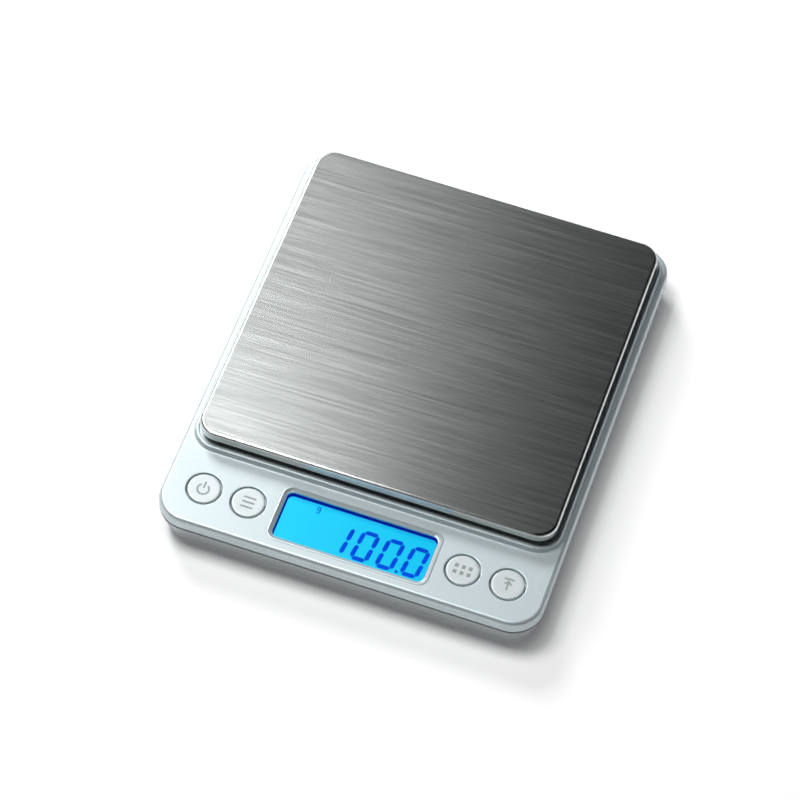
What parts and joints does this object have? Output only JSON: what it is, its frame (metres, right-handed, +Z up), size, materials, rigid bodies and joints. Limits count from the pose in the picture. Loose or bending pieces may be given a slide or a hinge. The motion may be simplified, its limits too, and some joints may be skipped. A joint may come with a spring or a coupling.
{
  "type": "digital gram scale",
  "caption": "Low rectangular bench scale with a square brushed stainless pan, a backlit segment display and round push buttons on its front deck.",
  "frame": {"origin": "under the middle of the case, on the surface that the feet stand on", "axes": "+X right, -Y towards the display side, +Z up"},
  "size_m": [0.106, 0.127, 0.019],
  "materials": {
    "silver_paint": "silver-painted ABS, fine satin",
    "silver_grey": "moulded silver-grey ABS, fine texture",
    "brushed_stainless": "stainless sheet brushed along X",
    "button_plastic": "pale silver-grey ABS, satin",
    "clear_lens": "clear polished acrylic",
    "lcd_blue": "backlit liquid crystal glass",
    "white_plastic": "white moulded plastic",
    "black_plastic": "black moulded plastic",
    "board_green": "green solder mask",
    "rubber_black": "black rubber",
    "aluminium_alloy": "machined aluminium",
    "zinc_steel": "zinc-plated steel",
    "foam_tape": "double-sided foam tape",
    "carrier_black": "black moulded ABS",
    "cell_wrap": "plain blue label foil over a can",
    "red_wire": "red PVC insulation",
    "black_wire": "black PVC insulation",
    "grey_wire": "grey PVC jacket"
  },
  "bodies": {
    "base": {"top_case": "silver_paint", "bottom_case": "silver_grey", "case_screw_front_left": "zinc_steel", "case_screw_front_right": "zinc_steel", "case_screw_back_left": "zinc_steel", "case_screw_back_right": "zinc_steel", "foot_front_left": "rubber_black", "foot_front_right": "rubber_black", "foot_back_left": "rubber_black", "foot_back_right": "rubber_black", "switch_power": "black_plastic", "switch_mode": "black_plastic", "switch_count": "black_plastic", "switch_tare": "black_plastic", "display_window": "clear_lens", "lcd_glass": "lcd_blue", "lcd_backlight": "white_plastic", "lcd_frame": "white_plastic", "gauge_coating_upper": "white_plastic", "gauge_coating_lower": "white_plastic", "lcd_connector_strip": "rubber_black", "display_gasket": "rubber_black", "main_board": "board_green", "processor_blob": "black_plastic", "converter_chip": "black_plastic", "board_crystal": "zinc_steel", "board_screw_1": "zinc_steel", "board_screw_2": "zinc_steel", "board_screw_3": "zinc_steel", "board_screw_4": "zinc_steel", "load_cell_spacer": "zinc_steel", "load_cell_screw_1": "zinc_steel", "load_cell_screw_2": "zinc_steel", "battery_spring_1": "zinc_steel", "battery_spring_2": "zinc_steel", "contact_bridge": "zinc_steel", "contact_negative": "zinc_steel", "contact_positive": "zinc_steel", "board_capacitor": "aluminium_alloy", "load_cell": "aluminium_alloy", "battery_1": "cell_wrap", "battery_2": "cell_wrap", "battery_lead_red": "red_wire", "battery_lead_black": "black_wire", "load_cell_lead": "grey_wire"},
    "platform": {"weighing_pan": "brushed_stainless", "adhesive_pad": "foam_tape", "platform_carrier": "carrier_black", "carrier_riser": "aluminium_alloy", "carrier_screw_1": "zinc_steel", "carrier_screw_2": "zinc_steel"},
    "battery_door": {"battery_door": "silver_grey"},
    "power_button": {"button_power": "button_plastic", "switch_plunger_power": "white_plastic"},
    "mode_button": {"button_mode": "button_plastic", "switch_plunger_mode": "white_plastic"},
    "count_button": {"button_count": "button_plastic", "switch_plunger_count": "white_plastic"},
    "tare_button": {"button_tare": "button_plastic", "switch_plunger_tare": "white_plastic"}
  },
  "joints": [
    {"name": "platform_travel", "type": "slide", "parent": "base", "child": "platform", "axis": [0, 0, -1], "range_m": [0, 0.0004], "stiffness_N_per_m": 60000, "deforming": ["load_cell"]},
    {"name": "power_button_press", "type": "slide", "parent": "base", "child": "power_button", "axis": [0, 0, -1], "range_m": [0, 0.0003], "stiffness_N_per_m": 5000},
    {"name": "mode_button_press", "type": "slide", "parent": "base", "child": "mode_button", "axis": [0, 0, -1], "range_m": [0, 0.0003], "stiffness_N_per_m": 5000},
    {"name": "count_button_press", "type": "slide", "parent": "base", "child": "count_button", "axis": [0, 0, -1], "range_m": [0, 0.0003], "stiffness_N_per_m": 5000},
    {"name": "tare_button_press", "type": "slide", "parent": "base", "child": "tare_button", "axis": [0, 0, -1], "range_m": [0, 0.0003], "stiffness_N_per_m": 5000},
    {"name": "battery_door_hinge", "type": "hinge", "parent": "base", "child": "battery_door", "pos_m": [0, 0.0337, 0.0012], "axis": [-1, 0, 0], "range_deg": [0, 75]}
  ]
}
